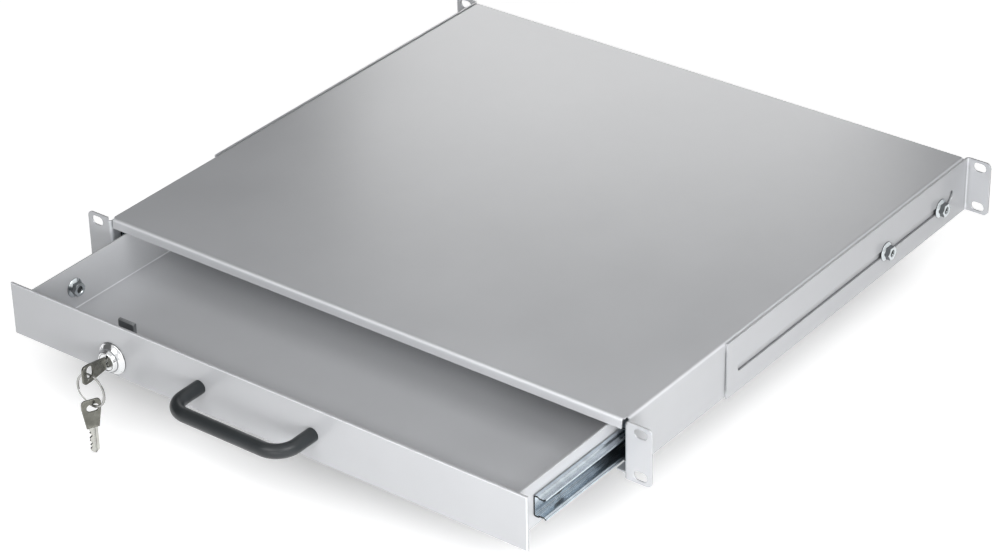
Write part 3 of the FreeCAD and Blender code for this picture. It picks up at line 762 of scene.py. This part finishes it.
# Lock rosette
def make_rosette():
    """Turned chrome collar: rounded rim, hollow flank and a rolled lip round the plug."""
    low, high = node_box("lock_rosette")
    radius = (high.x - low.x) / 2
    tall = high.y - low.y
    place = facing(Vector(((low.x + high.x) / 2, high.y, (low.z + high.z) / 2)), (0, -1, 0))
    rim = [(radius - inward, height) for inward, height in ROSETTE_RIM]
    lip = [(out, tall - depth) for out, depth in ROSETTE_LIP]
    flank = []
    for i in range(1, ROSETTE_FLANK_STEPS):
        part = i / ROSETTE_FLANK_STEPS
        sag = ROSETTE_FLANK_SAG * math.sin(math.pi * part)
        flank.append(Vector(rim[-1]).lerp(Vector(lip[0]), part) - Vector((sag, sag)))
    shape = bmesh.new()
    lathe(shape, place, rim + flank + lip, ROSETTE_STEPS)
    add_piece("lock_collar", shape, "lock_rosette", smooth_below=50)


# Screws
def cross_outline(crown, reach_share, half_share):
    """Outline of a cross recess, from shares of the crown's radius."""
    reach, half = crown * reach_share, crown * half_share
    quarter = [(reach, -half), (reach, half), (half, half)]
    points = []
    for i in range(4):
        turn = Matrix.Rotation(math.pi / 2 * i, 2)
        points += [tuple(turn @ Vector(point)) for point in quarter]
    return points


def add_screw(shape, place, head_radius, head_height, shank_radius, shank_length):
    """A pan-head screw with a cross recess; the place's Z points out of its head, from its seat."""
    profile = [(shank_radius * SCREW_TIP_SHARE, -shank_length),
               (shank_radius, SCREW_TIP_LENGTH - shank_length),
               (shank_radius, 0.0),
               (head_radius - SCREW_FOOT_INSET, 0.0),
               (head_radius, SCREW_FOOT_HEIGHT)]
    profile += [(head_radius * out, head_height * up) for out, up in SCREW_DOME]
    crown = profile[-1][0]
    rings = lathe(shape, place, profile, SCREW_STEPS)
    shape.faces.new(rings[0])
    mouth = add_loop(shape, place, cross_outline(crown, *RECESS_MOUTH), head_height)
    floor = add_loop(shape, place, cross_outline(crown, *RECESS_FLOOR), head_height * RECESS_FLOOR_LEVEL)
    join_rings(shape, mouth, floor)
    shape.faces.new(floor)
    fill_between(shape, rings[-1], mouth)


def make_screws():
    for node, head, tall, shank in SCREWS:
        low, high = node_box(node)
        seat = high.y - tall
        shape = bmesh.new()
        for across in (low.x + head / 2, high.x - head / 2):
            place = facing(Vector((across, seat, (low.z + high.z) / 2)), (0, 1, 0))
            add_screw(shape, place, head / 2, tall, shank / 2, seat - low.y)
        add_piece(node.replace("screws", "pan_screws"), shape, node)


# Lock cover and slide stops
def make_lock_cover():
    """The lock's back plate: a stamped plate with a raised middle and a rivet in each corner."""
    low, high = node_box("lock_cover")
    half = (high - low) / 2
    thick = high.y - low.y
    place = facing(Vector((low.x + half.x, low.y, low.z + half.z)), (0, 1, 0))
    shape = bmesh.new()
    plate = [(COVER_FOOT, 0.0), (0.0, COVER_FOOT), (0.0, thick - COVER_EDGE), (COVER_EDGE, thick)]
    stack(shape, place, rounded_box(half.x, half.z, COVER_CORNER), plate, capped=True)
    middle = rounded_box(half.x - COVER_MARGIN, half.z - COVER_MARGIN, COVER_CORNER)
    raised = [(0.0, thick - COVER_OVERLAP), (0.0, thick), (COVER_SLOPE, thick + COVER_RISE)]
    stack(shape, place, middle, raised, capped=True)
    dome = [(RIVET_RADIUS * share, height) for share, height in RIVET_DOME] + [RIVET_TOP]
    for a in (-1, 1):
        for b in (-1, 1):
            spot = Matrix.Translation((a * (half.x - RIVET_INSET), b * (half.z - RIVET_INSET), thick))
            lathe(shape, place @ spot, dome, RIVET_STEPS, capped=True)
    add_piece("lock_back_plate", shape, "lock_cover")


def make_slide_stops():
    """Rubber stops with rounded edges and two grooves round them."""
    for side, _ in LEFT_AND_RIGHT:
        node = "slide_buffer_" + side
        low, high = node_box(node)
        half = (high - low) / 2
        long = high.y - low.y
        place = facing(Vector((low.x + half.x, low.y, low.z + half.z)), (0, 1, 0))
        layers = list(STOP_NOSE)
        for part in STOP_GROOVE_PLACES:
            layers += [(depth, long * part + along) for depth, along in STOP_GROOVE]
        layers += [(0.0, long - STOP_EDGE), (STOP_EDGE, long)]
        shape = bmesh.new()
        stack(shape, place, rounded_box(half.x, half.z, STOP_CORNER), layers, capped=True)
        add_piece("rubber_stop_" + side, shape, node)


# Keys
def key_outline():
    """Bow of a key from its shoulder, as (along, across), widening from its neck to rounded corners."""
    half, corner = KEY_BOW_WIDTH / 2, KEY_BOW_CORNER
    side = [(0.0, KEY_NECK_WIDTH / 2), (KEY_HOLE_PLACE, half)]
    centre = Vector((KEY_BOW_LENGTH - corner, half - corner))
    for i in range(KEY_BOW_STEPS + 1):
        turn = math.pi / 2 * (1 - i / KEY_BOW_STEPS)
        side.append((centre.x + corner * math.cos(turn), centre.y + corner * math.sin(turn)))
    return side + [(a, -b) for a, b in reversed(side)]


def key_hole():
    radius = KEY_HOLE_WIDTH / 2
    points = []
    for centre, start in ((KEY_HOLE_HIGH - radius, 0.0), (KEY_HOLE_LOW + radius, math.pi)):
        for i in range(KEY_HOLE_STEPS + 1):
            turn = start + math.pi * i / KEY_HOLE_STEPS
            points.append((KEY_HOLE_PLACE + radius * math.cos(turn), centre + radius * math.sin(turn)))
    return points


def add_bow(shape, place):
    """The key's bow: bevelled edges, a raised rim and a bevelled hole."""
    half = KEY_THICKNESS / 2
    outline, hole = key_outline(), key_hole()
    faces = []
    for side in (-1, 1):
        rim_layers = [(inward, side * (half - drop)) for inward, drop in KEY_RIM]
        mouth_layers = [(inward, side * (half - drop)) for inward, drop in KEY_MOUTH]
        rim = stack(shape, place, outline, rim_layers)
        mouth = stack(shape, place, hole, mouth_layers)
        faces.append((rim, mouth))
    (back_rim, back_mouth), (front_rim, front_mouth) = faces
    join_rings(shape, back_rim[0], front_rim[0])
    join_rings(shape, back_mouth[0], front_mouth[0])
    for rim, mouth in faces:
        fill_between(shape, rim[-1], mouth[-1])


def cut_depth(along):
    """How far the blade's cuts reach in at a distance from the shoulder."""
    deepest = 0.0
    for i, depth in enumerate(KEY_CUTS):
        away = abs(along - KEY_CUT_PITCH * (i + 1)) - KEY_CUT_FLAT
        deepest = max(deepest, depth - max(0.0, away) * KEY_CUT_SLOPE)
    return deepest


def blade_side(groove_level):
    """One side of the blade's section from its lower edge, as (out, up), with a groove at that level."""
    half, tall = KEY_THICKNESS / 2, KEY_BLADE_HEIGHT / 2
    deep = half - KEY_GROOVE_DEPTH
    low, high = groove_level - KEY_GROOVE_WIDTH / 2, groove_level + KEY_GROOVE_WIDTH / 2
    return [(half - KEY_BLADE_BEVEL, -tall), (half, KEY_BLADE_BEVEL - tall),
            (half, low), (deep, low + KEY_GROOVE_SLOPE), (deep, high - KEY_GROOVE_SLOPE), (half, high),
            (half, tall - KEY_BLADE_BEVEL), (half - KEY_BLADE_BEVEL, tall)]


def add_blade(shape, place):
    """The key's blade: a groove along each side, cuts along its lower edge and a pointed tip."""
    tall = KEY_BLADE_HEIGHT / 2
    left = [(-out, up) for out, up in reversed(blade_side(KEY_GROOVE_LEVEL))]
    section = blade_side(-KEY_GROOVE_LEVEL) + left
    rings = []
    for i in range(KEY_BLADE_STEPS + 1):
        along = KEY_BLADE_LENGTH * i / KEY_BLADE_STEPS
        to_tip = min(1.0, (KEY_BLADE_LENGTH - along) / KEY_BLADE_TIP)
        low = max(-tall + cut_depth(along), -tall * to_tip)
        high = max(tall * to_tip, low + KEY_BLADE_TIP_HEIGHT)
        ring = []
        for out, up in section:
            level = min(max(up, low), high)
            ring.append(shape.verts.new(place @ Vector((KEY_BLADE_OVERLAP - along, level, out))))
        rings.append(ring)
    skin(shape, rings, capped=True)


def make_key(name, node, place):
    shape = bmesh.new()
    add_bow(shape, place)
    bow_faces = len(shape.faces)
    add_blade(shape, place)
    shape.faces.ensure_lookup_table()
    for face in shape.faces[bow_faces:]:
        face.material_index = 1
    piece = add_piece(name, shape, node, smooth_below=30)
    piece.data.materials.append(BLADE_FINISH)


def make_keys():
    """Keys lie in their own X (bow) and Y (width); their shoulder is at the place's origin."""
    low, high = node_box("lock_key")
    middle = (low + high) / 2
    shoulder = Vector((middle.x, low.y + KEY_BOW_LENGTH, middle.z))
    turned = Matrix(((0, 0, 1), (-1, 0, 0), (0, 1, 0))).to_4x4()
    make_key("key_in_lock", "lock_key", Matrix.Translation(shoulder) @ turned)
    low, high = node_box("spare_key")
    middle = (low + high) / 2
    shoulder = Vector((middle.x, middle.y, high.z - KEY_BOW_LENGTH))
    upright = Matrix(((0, 0, -1), (0, 1, 0), (1, 0, 0))).to_4x4()
    turn = Matrix.Rotation(SPARE_KEY_TURN, 4, "Z")
    make_key("key_on_ring", "spare_key", Matrix.Translation(shoulder) @ turn @ upright)


# Key ring
def make_key_ring():
    """A split ring: two turns of flattened wire, with a step where one turn passes to the next."""
    low, high = node_box("key_ring")
    centre = (low + high) / 2
    width = high.y - low.y
    wire = width / RING_TURNS
    deep = width
    mean = (high.x - low.x) / 2 - deep / 2
    flank, crown = deep / 2 - RING_SLOPE, wire / 2 - RING_EDGE
    section = [(-flank, -wire / 2), (flank, -wire / 2), (deep / 2, -crown), (deep / 2, crown),
               (flank, wire / 2), (-flank, wire / 2), (-deep / 2, crown), (-deep / 2, -crown)]
    start = RING_STEP_START + RING_STEP_LENGTH + RING_GAP
    whole = 2 * math.pi * RING_TURNS - RING_STEP_LENGTH - 2 * RING_GAP
    first_step = 2 * math.pi - RING_STEP_LENGTH - RING_GAP
    shape = bmesh.new()
    rings = []
    for i in range(RING_STEPS + 1):
        run = whole * i / RING_STEPS
        part = min(1.0, max(0.0, (run - first_step) / RING_STEP_LENGTH))
        smooth = part * part * (3 - 2 * part)
        shift = wire * (smooth - 0.5) * RING_PITCH_SHARE
        turn = start + run
        ray = Vector((math.cos(turn), 0, math.sin(turn)))
        ring = []
        for out, along in section:
            aside = Vector((0, shift + along * RING_WIRE_SHARE, 0))
            ring.append(shape.verts.new(centre + ray * (mean + out) + aside))
        rings.append(ring)
    skin(shape, rings, capped=True)
    add_piece("split_ring", shape, "key_ring", smooth_below=30)


# Stage and light
def add_card(name, corners):
    mesh = bpy.data.meshes.new(name)
    mesh.from_pydata(corners, [], [(0, 1, 2, 3)])
    return add_object(name, mesh)


def make_floor():
    """A white floor with a painted soft shadow of the part."""
    low = cad_box[0].z - FLOOR_GAP
    half = FLOOR_SIZE / 2
    corners = [(-half, -half, low), (half, -half, low), (half, half, low), (-half, half, low)]
    floor = add_card("floor", corners)
    made, tree, shader = new_finish("floor_paper")
    shader["Base Color"].default_value = colour(FLOOR_COLOUR)
    shader["Roughness"].default_value = FLOOR_ROUGHNESS
    shader["Specular IOR Level"].default_value = 0.0
    shader["Emission Strength"].default_value = 1.0
    path = add_node(tree, "ShaderNodeLightPath").outputs
    seen = calculate(tree, "MAXIMUM", path["Is Camera Ray"], path["Is Glossy Ray"])
    to_light = add_node(tree, "ShaderNodeCombineXYZ", dict(zip("XYZ", FLOOR_LIGHT_WAY))).outputs["Vector"]
    to_light = add_node(tree, "ShaderNodeVectorMath", {0: to_light}, operation="NORMALIZE").outputs["Vector"]
    # painted shadow: the floor's glow dims where the part blocks its view towards FLOOR_LIGHT_WAY
    inputs = {"Distance": FLOOR_SHADE_REACH, "Normal": to_light}
    open_sky = add_node(tree, "ShaderNodeAmbientOcclusion", inputs, samples=16).outputs["AO"]
    dimmest = FLOOR_GLOW * FLOOR_SHADE
    glow = map_range(tree, open_sky, FLOOR_SHADE_FULL, FLOOR_SHADE_NONE, dimmest, FLOOR_GLOW)
    tree.links.new(calculate(tree, "MULTIPLY", seen, glow), shader["Emission Color"])
    floor.data.materials.append(made)


def make_world():
    """A world that looks white and gives little light."""
    world = bpy.data.worlds.new("studio")
    bpy.context.scene.world = world
    world.use_nodes = True
    tree = world.node_tree
    background = tree.nodes["Background"].inputs
    background["Color"].default_value = colour(WHITE)
    path = add_node(tree, "ShaderNodeLightPath").outputs
    seen = calculate(tree, "MAXIMUM", path["Is Camera Ray"], path["Is Transmission Ray"])
    seen = calculate(tree, "MAXIMUM", seen, path["Is Glossy Ray"])
    tree.links.new(map_range(tree, seen, 0.0, 1.0, AMBIENT, 1.0), background["Strength"])


def add_flag(name, start, end, levels, glow):
    """A dark card beside the set, for the dark reflections of bright metal; glow is how grey it looks."""
    low, high = levels
    card = add_card(name, [(*start, low), (*end, low), (*end, high), (*start, high)])
    made, _, shader = new_finish(name)
    shader["Base Color"].default_value = colour(FLAG_COLOUR)
    shader["Specular IOR Level"].default_value = 0.0
    shader["Emission Color"].default_value = colour(WHITE, glow)
    shader["Emission Strength"].default_value = 1.0
    card.data.materials.append(made)
    card.visible_camera = False
    card.visible_diffuse = False
    card.visible_shadow = False


def add_softbox(name, place, aim, size, radiance, mirrored):
    """A soft lamp at place, turned towards aim; mirrored says if shiny faces show it."""
    lamp = bpy.data.lights.new(name, "AREA")
    lamp.shape = "RECTANGLE"
    lamp.size, lamp.size_y = size
    lamp.energy = radiance * math.pi * size[0] * size[1]
    stand = add_object(name, lamp)
    stand.location = place
    stand.visible_camera = False
    stand.visible_glossy = mirrored
    stand.rotation_mode = "QUATERNION"
    stand.rotation_quaternion = (Vector(aim) - Vector(place)).to_track_quat("-Z", "Y")


def make_camera():
    lens = bpy.data.cameras.new("camera")
    lens.sensor_width = SENSOR_WIDTH
    lens.lens = FOCAL_LENGTH_PIXELS / IMAGE_WIDTH * SENSOR_WIDTH
    lens.clip_end = CAMERA_REACH
    camera = add_object("camera", lens)
    level = math.cos(CAMERA_ELEVATION)
    back = Vector((math.sin(CAMERA_AZIMUTH) * level,
                   -math.cos(CAMERA_AZIMUTH) * level,
                   math.sin(CAMERA_ELEVATION)))
    camera.location = (CAMERA_TARGET + back * CAMERA_DISTANCE) * MM
    turn = (-back).to_track_quat("-Z", "Y").to_matrix() @ Matrix.Rotation(CAMERA_ROLL, 3, "Z")
    camera.rotation_mode = "QUATERNION"
    camera.rotation_quaternion = turn.to_quaternion()
    bpy.context.scene.camera = camera


make_camera()
dress_cad_nodes()
make_nuts()
make_screws()
make_rosette()
make_lock_cover()
make_slide_stops()
make_keys()
make_key_ring()
make_floor()
make_world()
for flag in FLAGS:
    add_flag(*flag)
for softbox in SOFTBOXES:
    add_softbox(*softbox)
bpy.context.scene.view_settings.view_transform = "Standard"
